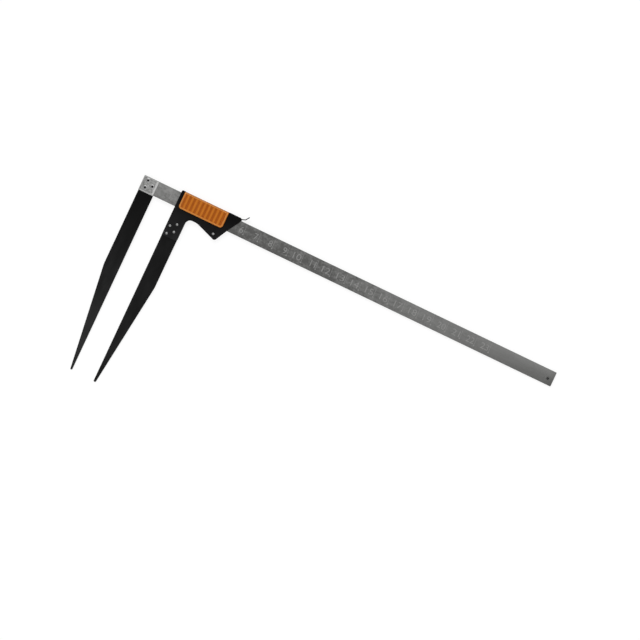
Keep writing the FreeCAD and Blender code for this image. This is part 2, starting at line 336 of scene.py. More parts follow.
@dataclass(frozen=True)
class BeamSteel(DrawnSteel):
    """The beam's steel, with painted reflections: bright by the head, dark along the middle, paler
    again beyond, and painted shade at the far end.
    """

    # Painted reflections along the beam: bright by the head, paler from 0.28 m, less pale from 0.5
    # m, and painted shade on the far end's last millimetres.
    along: tuple[Ramp, ...] = (
        Ramp(0.03, 0.11, 0.415, 0.0),
        Ramp(0.28, 0.45, 0.0, 0.25),
        Ramp(0.5, 0.68, 0.0, -0.126),
        Ramp(0.689, 0.699, 0.0, -0.12),
    )
    # Painted sheen across the beam: darker along the jaws' edge and lighter along the other edge,
    # strongest toward the far end.
    across: Ramp = Ramp(0.0, 0.024, -0.138, 0.23)
    across_amount: Ramp = Ramp(0.5, 0.64, 0.35, 1.0)
    stains: Triple = (70.0, 150.0, 60.0)
    stain_share: float = 0.15
    specks: Triple = (240.0, 300.0, 60.0)
    speck_share: float = 0.12
    mark_amount: Ramp = Ramp(0.3, 0.6, 1.0, 0.1)
    pin_place: tuple[float, float] = (0.6904, 0.0099)
    # A darker ring round the stop pin.
    grease: Ramp = Ramp(0.0017, 0.003, -0.4, 0.0)

    def toned(self, sheet: ShaderSheet, share: Socket) -> Socket:
        """Returns the share of the bright tone along and across the beam, with its painted
        reflections, sheen and shade.
        """
        x, y = sheet.axis("X"), sheet.axis("Y")
        places = [sheet.spread(x, *ramp) for ramp in self.along]
        edges = sheet.calc(
            "MULTIPLY", sheet.spread(x, *self.across_amount), sheet.spread(y, *self.across)
        )
        marks = sheet.total(
            sheet.clouded(self.stains, 3.0, -self.stain_share, self.stain_share),
            sheet.clouded(self.specks, 2.0, -self.speck_share, self.speck_share),
        )
        marks = sheet.calc("MULTIPLY", sheet.spread(x, *self.mark_amount), marks)
        return sheet.total(*places, edges, marks, self.greased(sheet, x, y), share)

    def greased(self, sheet: ShaderSheet, x: Socket, y: Socket) -> Socket:
        """Darkens a ring round the stop pin.

        Args:
            sheet: The finish's tree.
            x: The place along the beam.
            y: The place across it.

        Returns:
            What the ring takes from the share, zero away from the pin.
        """
        squares = []
        for value, middle in zip((x, y), self.pin_place):
            squares.append(sheet.calc("POWER", sheet.calc("SUBTRACT", value, middle), 2.0))
        return sheet.spread(sheet.calc("SQRT", sheet.total(*squares)), *self.grease)


@dataclass(frozen=True)
class PlateSteel(DrawnSteel):
    """The cover plates' steel, mottled, with a painted highlight that makes the bevels brighter
    than the face.
    """

    # Painted highlight on faces that turn away from Z: the bevels and sides.
    bevel: Ramp = Ramp(0.97, 0.995, 0.85, 0.0)
    specks: Triple = (330.0, 330.0, 60.0)
    speck_share: float = 0.3

    def toned(self, sheet: ShaderSheet, share: Socket) -> Socket:
        """Returns the share of the bright tone, high on the bevels, where it paints a highlight.
        """
        bevel = sheet.spread(sheet.flatness(), *self.bevel)
        specks = sheet.clouded(self.specks, 2.0, -self.speck_share, self.speck_share)
        return sheet.total(share, bevel, specks)


@dataclass(frozen=True)
class SocketSteel(DrawnSteel):
    """Screw steel, black down in the sockets, where no light comes back."""

    head: Ramp = Ramp(0.0032, 0.0034, 0.0, 1.0)
    end: Ramp = Ramp(-0.0026, -0.0024, 0.6, 0.0)
    least: float = 0.75

    def toned(self, sheet: ShaderSheet, share: Socket) -> Socket:
        """Returns the share of the bright tone, none between a head's face and a shank's end."""
        z = sheet.axis("Z")
        lit = sheet.total(sheet.spread(z, *self.head), sheet.spread(z, *self.end))
        return sheet.calc("MULTIPLY", lit, sheet.calc("ADD", share, self.least))


@dataclass(frozen=True)
class PinSteel(DrawnSteel):
    """The coiled pin's steel: black on its cut ends, with a painted highlight round its side."""

    # Painted highlight round the pin's side.
    side: Ramp = Ramp(0.2, 0.5, 0.9, 0.0)
    least: float = 0.5

    def toned(self, sheet: ShaderSheet, share: Socket) -> Socket:
        """Returns the share of the bright tone, none on faces that look along the pin, and a
        painted highlight on its side.
        """
        side = sheet.spread(sheet.flatness(), *self.side)
        return sheet.calc("MULTIPLY", side, sheet.calc("ADD", share, self.least))


@dataclass(frozen=True)
class BlackEnamel:
    """Satin black enamel on steel, greyer with distance from the beam in random patches; on the
    jaws this greying is a painted sheen.

    The greying starts and grows differently to the right of the fixed measuring face.
    """

    name: str
    tone: Tone
    worn: Tone
    worn_from: float
    worn_to: float
    right_start: float = 0.0
    right_share: float = 1.0
    grain: Triple = (900.0, 900.0, 900.0)
    grain_depth: float = 0.00004
    patches: Triple = (70.0, 26.0, 70.0)
    patch_wear: Ramp = Ramp(0.36, 0.64, 0.7, 1.3)
    roughness: tuple[float, float] = (0.42, 0.54)
    specular: float = 0.035

    def material(self) -> bpy.types.Material:
        """Returns the enamel with its fine texture and its greying: random patches, and on the
        jaws a painted sheen.
        """
        sheet = ShaderSheet(self.name)
        texture = sheet.grain(self.grain, 2.0)
        patches = sheet.grain(self.patches, 4.0)
        # Greying away from the beam, patchy at random: on the jaws a painted sheen.
        along = sheet.spread(sheet.axis("Y"), self.worn_from, self.worn_to, 0.0, 1.0)
        right = sheet.calc("GREATER_THAN", sheet.axis("X"), 0.0)
        share = sheet.total(
            sheet.calc("MULTIPLY", along, sheet.spread(right, 0.0, 1.0, 1.0, self.right_share)),
            sheet.calc("MULTIPLY", right, self.right_start),
        )
        worn = sheet.calc("MULTIPLY", share, sheet.spread(patches, *self.patch_wear))
        return sheet.finish(
            {
                "Base Color": sheet.blend(worn, linear(self.tone), linear(self.worn)),
                "Metallic": 0.0,
                "Specular IOR Level": self.specular,
                "Roughness": sheet.spread(texture, *STREAK_RANGE, *self.roughness),
                "Normal": sheet.relief(texture, self.grain_depth),
            }
        )


@dataclass(frozen=True)
class MouldedPlastic:
    """Moulded orange plastic, with painted shade down in the grooves and, where set, a painted
    highlight along its top edge.
    """

    name: str
    crest: Tone
    groove: Tone
    low: float
    high: float
    crest_share: float = 1.0
    top_share: float = 0.0
    top_from: float = 0.0238
    top_to: float = 0.026
    grain: Triple = (1400.0, 1400.0, 1400.0)
    grain_depth: float = 0.00003
    clouds: Triple = (45.0, 45.0, 45.0)
    cloud_share: float = 0.08
    roughness: tuple[float, float] = (0.45, 0.6)
    specular: float = 0.14

    def material(self) -> bpy.types.Material:
        """Returns the plastic with its spark-eroded grain, its painted shade by height and its
        painted top highlight.
        """
        sheet = ShaderSheet(self.name)
        texture = sheet.grain(self.grain, 2.0)
        depth = sheet.calc("ABSOLUTE", sheet.axis("Z"))
        # Painted shade: the groove tone down on the floor between the ribs and the crest tone up
        # top, with a painted highlight along the top edge.
        shade = sheet.total(
            sheet.spread(depth, self.low, self.high, 0.0, self.crest_share),
            sheet.spread(sheet.axis("Y"), self.top_from, self.top_to, 0.0, self.top_share),
            sheet.clouded(self.clouds, 2.0, -self.cloud_share, self.cloud_share),
        )
        return sheet.finish(
            {
                "Base Color": sheet.blend(shade, linear(self.groove), linear(self.crest)),
                "Specular IOR Level": self.specular,
                "Roughness": sheet.spread(texture, *STREAK_RANGE, *self.roughness),
                "Normal": sheet.relief(texture, self.grain_depth),
            }
        )


@dataclass(frozen=True)
class EtchedMark:
    """The scale's pale etched marks, worn thin here and there."""

    name: str
    tone: Tone
    worn: Tone
    patches: Triple = (160.0, 900.0, 900.0)
    wear: Ramp = Ramp(0.45, 0.68, 0.0, 1.0)

    def material(self) -> bpy.types.Material:
        """Returns the marks' matt grey with worn patches."""
        sheet = ShaderSheet(self.name)
        wear = sheet.spread(sheet.grain(self.patches, 4.0), *self.wear)
        return sheet.finish(
            {
                "Base Color": sheet.blend(wear, linear(self.tone), linear(self.worn)),
                "Metallic": 0.6,
                "Roughness": 0.6,
            }
        )


BEAM_STEEL = BeamSteel(
    name="beam_steel",
    dull=(72, 72, 71),
    bright=(125, 125, 124),
    brush=(9.0, 1500.0, 1500.0),
    roughness=0.4,
    variety=0.18,
)
HEAD_STEEL = PlateSteel(
    name="head_steel",
    dull=(102, 102, 101),
    bright=(154, 154, 153),
    brush=(1300.0, 40.0, 1300.0),
    roughness=0.34,
    variety=0.5,
)
SCREW_STEEL = SocketSteel(
    name="screw_steel",
    dull=(4, 4, 4),
    bright=(132, 132, 132),
    brush=(900.0, 900.0, 900.0),
    roughness=0.34,
    variety=0.25,
)
RIVET_STEEL = DrawnSteel(
    name="rivet_steel",
    dull=(104, 104, 104),
    bright=(128, 128, 128),
    brush=(700.0, 700.0, 700.0),
    roughness=0.5,
)
SPRING_STEEL = DrawnSteel(
    name="spring_steel",
    dull=(6, 6, 7),
    bright=(14, 14, 15),
    brush=(25.0, 900.0, 1500.0),
    roughness=0.45,
)
PIN_STEEL = PinSteel(
    name="pin_steel",
    dull=(3, 3, 4),
    bright=(112, 112, 112),
    brush=(700.0, 700.0, 60.0),
    roughness=0.36,
    variety=0.5,
)
# The jaws grey toward their tips: a painted sheen.
JAW_PAINT = BlackEnamel(
    name="jaw_paint",
    tone=(6, 6, 6),
    worn=(41, 41, 41),
    worn_from=0.0,
    worn_to=-0.3,
    right_start=0.15,
    right_share=0.33,
)
HOUSING_PAINT = BlackEnamel(
    name="housing_paint",
    tone=(6, 6, 6),
    worn=(30, 30, 31),
    worn_from=0.02,
    worn_to=-0.05,
)
# Painted shade in the grip's grooves and a painted highlight along its top edge.
GRIP_PLASTIC = MouldedPlastic(
    name="grip_plastic",
    crest=(200, 130, 60),
    groove=(152, 76, 2),
    low=0.0061,
    high=0.0068,
    crest_share=0.72,
    top_share=0.3,
)
RIB_PLASTIC = MouldedPlastic(
    name="grip_rib_plastic",
    crest=(180, 102, 22),
    groove=(152, 76, 2),
    low=0.0061,
    high=0.0071,
)
SCALE_MARK = EtchedMark(name="scale_mark", tone=(117, 117, 116), worn=(104, 104, 103))


def piece_from_bmesh(
    name: str, mesh: bmesh.types.BMesh, finish: bpy.types.Material
) -> bpy.types.Object:
    """Makes an object of a bmesh, with its faces pointing outwards.

    Args:
        name: The piece's name.
        mesh: Its shape, in the row frame. It is used up.
        finish: Its material.

    Returns:
        The object, at the origin.
    """
    bmesh.ops.recalc_face_normals(mesh, faces=mesh.faces)
    data = bpy.data.meshes.new(name)
    mesh.to_mesh(data)
    mesh.free()
    data.materials.append(finish)
    return piece_from_mesh(name, data)


def piece_from_mesh(name: str, data: bpy.types.Mesh) -> bpy.types.Object:
    """Makes an object of a mesh, smooth but for its sharp edges.

    Args:
        name: The piece's name.
        data: Its mesh, in the row frame.

    Returns:
        The object, at the origin.
    """
    data.name = name
    data.shade_smooth()
    data.set_sharp_from_angle(angle=CREASE)
    piece = bpy.data.objects.new(name, data)
    bpy.context.scene.collection.objects.link(piece)
    LOG.info("%s: %d faces", name, len(data.polygons))
    return piece


def skin(mesh: bmesh.types.BMesh, loops: Sequence[Sequence[Vector]]) -> None:
    """Adds a closed shell through loops of the same number of points, with a face at each end.

    Args:
        mesh: Where the shell goes.
        loops: The loops in order, in metres.
    """
    rows = [[mesh.verts.new(point) for point in loop] for loop in loops]
    count = len(rows[0])
    for below, above in zip(rows, rows[1:]):
        for i in range(count):
            j = (i + 1) % count
            mesh.faces.new((below[i], below[j], above[j], above[i]))
    mesh.faces.new(rows[0][::-1])
    mesh.faces.new(rows[-1])


def circle(radius: float, z: float, count: int) -> list[Vector]:
    """Returns the points of a round loop about Z, in metres, from sizes in millimetres."""
    turns = [2 * math.pi * i / count for i in range(count)]
    return [Vector((radius * math.cos(t), radius * math.sin(t), z)) * MM for t in turns]


class PieceTree(NodeSheet):
    """A Geometry Nodes group with named inputs, which ends in real geometry with its material."""

    def __init__(self, name: str, inputs: dict[str, str]) -> None:
        """Makes the group.

        Args:
            name: The group's name.
            inputs: Each input's name with its kind, such as Float.
        """
        super().__init__(bpy.data.node_groups.new(name, "GeometryNodeTree"))
        wanted = {"Places": "Geometry", **inputs, "Finish": "Material"}
        for label, kind in wanted.items():
            self.tree.interface.new_socket(label, in_out="INPUT", socket_type="NodeSocket" + kind)
        self.tree.interface.new_socket("Piece", in_out="OUTPUT", socket_type="NodeSocketGeometry")
        self.entry = self.add("NodeGroupInput")

    def given(self, label: str) -> Socket:
        """Returns the group's input of that name."""
        return self.entry.outputs[label]

    def moved(
        self,
        geometry: Socket,
        shift: object = (0.0, 0.0, 0.0),
        turn: Triple = (0.0, 0.0, 0.0),
        scale: object = (1.0, 1.0, 1.0),
    ) -> Socket:
        """Adds a Transform Geometry node.

        Args:
            geometry: What is moved.
            shift: Its translation.
            turn: Its rotation in radians.
            scale: Its scale.

        Returns:
            The moved geometry.
        """
        values = {"Geometry": geometry, "Translation": shift, "Rotation": turn, "Scale": scale}
        return self.add("GeometryNodeTransform", values).outputs[0]

    def vector(self, x: object = 0.0, y: object = 0.0, z: object = 0.0) -> Socket:
        """Returns a vector made of three values."""
        return self.add("ShaderNodeCombineXYZ", {"X": x, "Y": y, "Z": z}).outputs[0]

    def joined(self, *parts: Socket) -> Socket:
        """Returns several geometries as one."""
        node = self.add("GeometryNodeJoinGeometry")
        for part in parts:
            self.tree.links.new(part, node.inputs[0])
        return node.outputs[0]

    def repeated(self, places: Socket, thing: Socket, turn: object = (0.0, 0.0, 0.0)) -> Socket:
        """Adds an instance of a thing at each place.

        Args:
            places: The points.
            thing: What stands on them.
            turn: Its rotation.

        Returns:
            The instances.
        """
        values = {"Points": places, "Instance": thing, "Rotation": turn}
        return self.add("GeometryNodeInstanceOnPoints", values).outputs[0]

    def close(self, geometry: Socket) -> None:
        """Ends the tree in Realize Instances and Set Material."""
        real = self.add("GeometryNodeRealizeInstances", {"Geometry": geometry})
        dressed = self.add(
            "GeometryNodeSetMaterial",
            {"Geometry": real.outputs[0], "Material": self.given("Finish")},
        )
        self.add("NodeGroupOutput", {0: dressed.outputs[0]})

    def grow(
        self, name: str, places: Sequence[Triple], sizes: dict[str, object]
    ) -> bpy.types.Object:
        """Runs the tree and keeps its result as a plain mesh.

        Args:
            name: The piece's name.
            places: Points in metres for the tree's first input.
            sizes: The other inputs by name, in metres.

        Returns:
            The finished object, at the origin and without a modifier.
        """
        start = bpy.data.meshes.new(name + "_places")
        start.from_pydata([Vector(p) for p in places], [], [])
        carrier = bpy.data.objects.new(name + "_carrier", start)
        modifier = carrier.modifiers.new("tree", "NODES")
        modifier.node_group = self.tree
        for item in self.tree.interface.items_tree:
            if item.in_out == "INPUT" and item.name in sizes:
                modifier[item.identifier] = sizes[item.name]
        bpy.context.scene.collection.objects.link(carrier)
        bpy.context.view_layer.update()
        graph = bpy.context.evaluated_depsgraph_get()
        mesh = bpy.data.meshes.new_from_object(carrier.evaluated_get(graph), depsgraph=graph)
        bpy.data.objects.remove(carrier)
        return piece_from_mesh(name, mesh)


@dataclass
class CadDress:
    """The CAD nodes that stay as they are, each with its finish."""

    steel_nodes: tuple[tuple[str, DrawnSteel], ...] = (
        ("beam", BEAM_STEEL),
        ("head_plate_front", HEAD_STEEL),
        ("head_plate_back", HEAD_STEEL),
        ("leaf_spring", SPRING_STEEL),
    )
    enamel_nodes: tuple[tuple[str, BlackEnamel], ...] = (
        ("fixed_jaw", JAW_PAINT),
        ("sliding_jaw", JAW_PAINT),
        ("slider_housing", HOUSING_PAINT),
    )

    def dress(self) -> None:
        """Gives each node its material."""
        made: dict[str, bpy.types.Material] = {}
        for node, finish in (*self.steel_nodes, *self.enamel_nodes):
            if finish.name not in made:
                made[finish.name] = finish.material()
            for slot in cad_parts[node].material_slots:
                slot.material = made[finish.name]
            LOG.info("%s: %s", node, finish.name)


@dataclass
class PrintedScale:
    """The inch scale on both faces of the beam: for each inch a footed line and its number."""

    first: float = 2.86
    count: int = 23
    beam_z: float = 1.5
    mark_thick: float = 0.04
    mark_sunk: float = 0.01
    foot_extra: float = 1.4
    line_width: float = 0.5
    line_low: float = 5.0
    line_high: float = 21.0
    foot_radius: float = 1.15
    foot_y: float = 6.0
    digit_height: float = 10.0
    digit_width: float = 7.2
    digit_low: float = 7.2
    digit_space: float = 1.0
    digit_gap: float = 2.0
    narrow_numbers: tuple[int, ...] = (1, 11)
    weld: float = 1e-7

    def mark_middle(self) -> float:
        """Returns the height of the marks' middle: their lower part lies in the steel."""
        return self.beam_z + self.mark_thick / 2 - self.mark_sunk

    def lines_tree(self) -> PieceTree:
        """Builds the tree that sets a line and its foot at every inch.

        Returns:
            The tree.
        """
        tree = PieceTree(
            "scale_lines",
            {
                "Count": "Int",
                "Start": "Vector",
                "Step": "Vector",
                "Line Size": "Vector",
                "Foot Radius": "Float",
                "Foot Depth": "Float",
                "Foot Drop": "Float",
            },
        )
        row = tree.add(
            "GeometryNodeMeshLine",
            {
                "Count": tree.given("Count"),
                "Start Location": tree.given("Start"),
                "Offset": tree.given("Step"),
            },
        )
        line = tree.add("GeometryNodeMeshCube", {"Size": tree.given("Line Size")})
        foot = tree.add(
            "GeometryNodeMeshCylinder",
            {
                "Vertices": 20,
                "Radius": tree.given("Foot Radius"),
                "Depth": tree.given("Foot Depth"),
            },
        )
        foot_low = tree.moved(foot.outputs["Mesh"], tree.vector(y=tree.given("Foot Drop")))
        mark = tree.joined(line.outputs["Mesh"], foot_low)
        tree.close(tree.repeated(row.outputs["Mesh"], mark))
        return tree

    def lines(self, tree: PieceTree, face: Face, finish: bpy.types.Material) -> bpy.types.Object:
        """Runs the tree for one face.

        Args:
            tree: The tree of lines.
            face: The face that carries them.
            finish: Their material.

        Returns:
            The lines of that face.
        """
        middle = (self.line_low + self.line_high) / 2
        sizes = {
            "Count": self.count,
            "Start": [
                (self.first + INCH) * MM,
                middle * MM,
                face.value * self.mark_middle() * MM,
            ],
            "Step": [INCH * MM, 0.0, 0.0],
            "Line Size": [
                self.line_width * MM,
                (self.line_high - self.line_low) * MM,
                self.mark_thick * MM,
            ],
            "Foot Radius": self.foot_radius * MM,
            "Foot Depth": self.mark_thick * self.foot_extra * MM,
            "Foot Drop": (self.foot_y - middle) * MM,
            "Finish": finish,
        }
        return tree.grow(f"scale_lines_{face.name.lower()}", [(0.0, 0.0, 0.0)], sizes)

    def glyphs(self, number: int) -> bpy.types.Mesh:
        """Makes the mesh of one number, with its lower right corner at the origin.

        Args:
            number: What it says.

        Returns:
            Its mesh, in metres.
        """
        text = bpy.data.curves.new(f"number_{number}", "FONT")
        text.body = str(number)
        text.resolution_u = 4
        text.extrude = 0.5  # any depth does, since all three sizes are set below
        holder = bpy.data.objects.new(text.name, text)
        bpy.context.scene.collection.objects.link(holder)
        bpy.context.view_layer.update()
        graph = bpy.context.evaluated_depsgraph_get()
        mesh = bpy.data.meshes.new_from_object(holder.evaluated_get(graph), depsgraph=graph)
        bpy.data.objects.remove(holder)
        corners = [v.co.copy() for v in mesh.vertices]
        low = [min(c[i] for c in corners) for i in range(3)]
        high = [max(c[i] for c in corners) for i in range(3)]
        width = self.digit_width * len(str(number)) - self.digit_space
        tall = self.digit_height / (high[1] - low[1])
        wide = tall if number in self.narrow_numbers else width / (high[0] - low[0])
        scale = Vector((wide, tall, self.mark_thick / (high[2] - low[2]))) * MM
        to_origin = Matrix.Translation((-high[0], -low[1], 0.0))
        mesh.transform(Matrix.Diagonal((*scale, 1.0)) @ to_origin)
        return mesh

    def numbers(self, face: Face, finish: bpy.types.Material) -> bpy.types.Object:
        """Sets each inch's number beside its line.

        Args:
            face: The face that carries them.
            finish: Their material.

        Returns:
            The numbers of that face as one piece.
        """
        joined = bmesh.new()
        turn = 0.0 if face is Face.FRONT else HALF_TURN
        turned = Matrix.Rotation(turn, 4, "Y")
        for number in range(1, self.count + 1):
            mesh = self.glyphs(number)
            place = Vector((
                self.first + INCH * number - face.value * self.digit_gap,
                self.digit_low,
                face.value * self.mark_middle(),
            )) * MM
            mesh.transform(Matrix.Translation(place) @ turned)
            joined.from_mesh(mesh)
            bpy.data.meshes.remove(mesh)
        bmesh.ops.remove_doubles(joined, verts=joined.verts, dist=self.weld)
        return piece_from_bmesh(f"scale_numbers_{face.name.lower()}", joined, finish)

    def build(self) -> None:
        """Makes the scale on both faces and sets it on the beam."""
        finish = SCALE_MARK.material()
        tree = self.lines_tree()
        for face in Face:
            for piece in (self.lines(tree, face, finish), self.numbers(face, finish)):
                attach(piece, Body.BEAM.value)


@dataclass
class HeadScrews:
    """Three countersunk screws with hexagon sockets, each turned as it happened to stop."""

    head_radius: float = 3.7
    head_edge: float = 0.12
    shank_radius: float = 2.0
    face_z: float = 3.5
    sunk: float = 0.06
    end_z: float = -3.1
    socket_flats: float = 3.2
    socket_depth: float = 1.5
    socket_edge: float = 0.12
    socket_lip: float = 0.2
    drill_point: float = 0.5
    drill_radius: float = 0.15
    end_taper: float = 0.4
    count: int = 48
    most_turn: float = math.pi / 3
    seed: int = 4

    def hexagon(self, flats: float, z: float) -> list[Vector]:
        """Returns the points of a hexagonal loop with that width across flats."""
        points = []
        for i in range(self.count):
            turn = 2 * math.pi * i / self.count
            reach = flats / 2 / math.cos((turn + math.pi / 6) % (math.pi / 3) - math.pi / 6)
            points.append(Vector((reach * math.cos(turn), reach * math.sin(turn), z)) * MM)
        return points

    def screw(self) -> bpy.types.Object:
        """Makes one screw on the Z axis, its head's face at zero.

        Returns:
            The screw, which the tree repeats.
        """
        depth = self.head_radius - self.shank_radius
        end = self.end_z - self.face_z
        loops = [
            circle(self.drill_radius, -self.socket_depth - self.drill_point, self.count),
            self.hexagon(self.socket_flats, -self.socket_depth),
            self.hexagon(self.socket_flats, -self.socket_edge),
            self.hexagon(self.socket_flats + self.socket_lip, 0.0),
            circle(self.head_radius - self.head_edge * 2, 0.0, self.count),
            circle(self.head_radius, -self.head_edge, self.count),
            circle(self.shank_radius, -depth - self.head_edge, self.count),
            circle(self.shank_radius, end + self.end_taper, self.count),
            circle(self.shank_radius - self.end_taper, end, self.count),
        ]
        mesh = bmesh.new()
        skin(mesh, loops)
        return piece_from_bmesh("head_screw_pattern", mesh, SCREW_STEEL.material())

    def build(self) -> None:
        """Repeats the screw at the three places of its CAD nodes."""
        tree = PieceTree("head_screws", {"Screw": "Object", "Seed": "Int", "Most Turn": "Float"})
        pattern = tree.add("GeometryNodeObjectInfo", {"Object": tree.given("Screw")})
        chance = tree.add(
            "FunctionNodeRandomValue",
            {"Max": tree.given("Most Turn"), "Seed": tree.given("Seed")},
            data_type="FLOAT",
        )
        turn = next(s for s in chance.outputs if s.type == "VALUE" and s.enabled)
        screws = tree.repeated(
            tree.given("Places"), pattern.outputs["Geometry"], tree.vector(z=turn)
        )
        tree.close(screws)
        names = [f"head_screw_{i}" for i in (1, 2, 3)]
        places = []
        for name in names:
            low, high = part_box(name)
            middle = (low + high) / 2
            places.append((middle.x, middle.y, (self.face_z - self.sunk) * MM))
        screw = self.screw()
        sizes = {
            "Screw": screw,
            "Seed": self.seed,
            "Most Turn": self.most_turn,
            "Finish": screw.data.materials[0],
        }
        piece = tree.grow("head_screws", places, sizes)
        bpy.data.objects.remove(screw)
        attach(piece, Body.BEAM.value)
        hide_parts(*names)


@dataclass
class StopPin:
    """The coiled spring pin near the beam's far end: a strip rolled up in over two turns."""

    radius: float = 1.5
    strip: float = 0.36
    gap: float = 0.05
    turns: float = 2.2
    dive: float = 0.17
    steps_per_turn: int = 36
    half_length: float = 4.5
    end_taper: float = 0.4
    end_scale: float = 0.88

    def coil_radius(self, turns: float) -> float:
        """Returns the strip's outer radius after so many turns.

        Args:
            turns: How far the strip has been rolled.

        Returns:
            The radius: round, but for a dive under each turn's start.
        """
        depth = 0.0
        for count in range(1, math.ceil(self.turns) + 1):
            share = min(max((turns - count + self.dive) / self.dive, 0.0), 1.0)
            depth += share * share * (3 - 2 * share) * (self.strip + self.gap)
        return self.radius - depth

    def section(self, scale: float, z: float) -> list[Vector]:
        """Makes the strip's rolled section.

        Args:
            scale: How much smaller it is across.
            z: Its height.

        Returns:
            The loop's points in metres, about the pin's axis.
        """
        outer, inner = [], []
        count = round(self.turns * self.steps_per_turn)
        for i in range(count + 1):
            turns = i / self.steps_per_turn
            angle = 2 * math.pi * turns
            toward = Vector((math.cos(angle), math.sin(angle), 0.0))
            reach = self.coil_radius(turns)
            for side, radius in ((outer, reach), (inner, reach - self.strip)):
                side.append((toward * radius * scale + Vector((0.0, 0.0, z))) * MM)
        return outer + inner[::-1]

    def build(self) -> None:
        """Rolls the pin up where its CAD node is."""
        low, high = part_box("stop_pin")
        axis = Vector(((low.x + high.x) / 2, (low.y + high.y) / 2, 0.0))
        levels = (
            (self.end_scale, -self.half_length),
            (1.0, -self.half_length + self.end_taper),
            (1.0, self.half_length - self.end_taper),
            (self.end_scale, self.half_length),
        )
        mesh = bmesh.new()
        skin(mesh, [[axis + point for point in self.section(*level)] for level in levels])
        piece = piece_from_bmesh("stop_pin_coil", mesh, PIN_STEEL.material())
        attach(piece, Body.BEAM.value)
        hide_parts("stop_pin")


@dataclass
class Rivets:
    """Five bright rivets with low domed heads on both cheeks."""

    head_radius: float = 2.1
    head_height: float = 0.85
    shank_radius: float = 1.5
    cheek_z: float = 3.1
    dome_steps: int = 10
    dome_turn: float = math.pi * 0.49
    round_points: int = 28

    def dome(self, tree: PieceTree) -> Socket:
        """Adds the nodes of one head, its rim on the XY plane.

        Args:
            tree: The tree that they go in.

        Returns:
            The head's mesh.
        """
        line = tree.add("GeometryNodeCurvePrimitiveLine", {"End": (0.0, 0.0, 1.0)})
        steps = tree.add(
            "GeometryNodeResampleCurve", {"Curve": line.outputs[0], "Count": self.dome_steps}
        )
        along = tree.add("GeometryNodeSplineParameter").outputs["Factor"]
        angle = tree.calc("MULTIPLY", along, self.dome_turn)
        rise = tree.calc("MULTIPLY", tree.calc("SINE", angle), tree.given("Head Height"))
        lifted = tree.add(
            "GeometryNodeSetPosition",
            {"Geometry": steps.outputs[0], "Position": tree.vector(z=rise)},
        )
        width = tree.calc("MULTIPLY", tree.calc("COSINE", angle), tree.given("Head Radius"))
        swelled = tree.add(
            "GeometryNodeSetCurveRadius", {"Curve": lifted.outputs[0], "Radius": width}
        )
        ring = tree.add(
            "GeometryNodeCurvePrimitiveCircle", {"Resolution": self.round_points, "Radius": 1.0}
        )
        head = tree.add(
            "GeometryNodeCurveToMesh",
            {
                "Curve": swelled.outputs[0],
                "Profile Curve": ring.outputs[0],
                "Scale": width,
                "Fill Caps": True,
            },
        )
        return head.outputs[0]

    def build(self) -> None:
        """Repeats the rivet at the places of its CAD nodes."""
        tree = PieceTree(
            "rivets",
            {
                "Head Radius": "Float",
                "Head Height": "Float",
                "Shank Radius": "Float",
                "Cheek": "Float",
            },
        )
        head = self.dome(tree)
        cheek = tree.given("Cheek")
        front = tree.moved(head, tree.vector(z=cheek))
        back = tree.moved(front, turn=(HALF_TURN, 0.0, 0.0))
        shank = tree.add(
            "GeometryNodeMeshCylinder",
            {
                "Vertices": self.round_points,
                "Radius": tree.given("Shank Radius"),
                "Depth": tree.calc("MULTIPLY", cheek, 2.0),
            },
        )
        rivet = tree.joined(front, back, shank.outputs["Mesh"])
        tree.close(tree.repeated(tree.given("Places"), rivet))
        names = [f"jaw_rivet_{i}" for i in (1, 2, 3, 4)] + ["corner_rivet"]
        places = []
        for name in names:
            low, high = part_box(name)
            middle = (low + high) / 2
            places.append((middle.x, middle.y, 0.0))
        sizes = {
            "Head Radius": self.head_radius * MM,
            "Head Height": self.head_height * MM,
            "Shank Radius": self.shank_radius * MM,
            "Cheek": self.cheek_z * MM,
            "Finish": RIVET_STEEL.material(),
        }
        piece = tree.grow("rivets", places, sizes)
        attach(piece, Body.SLIDER.value)
        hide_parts(*names)


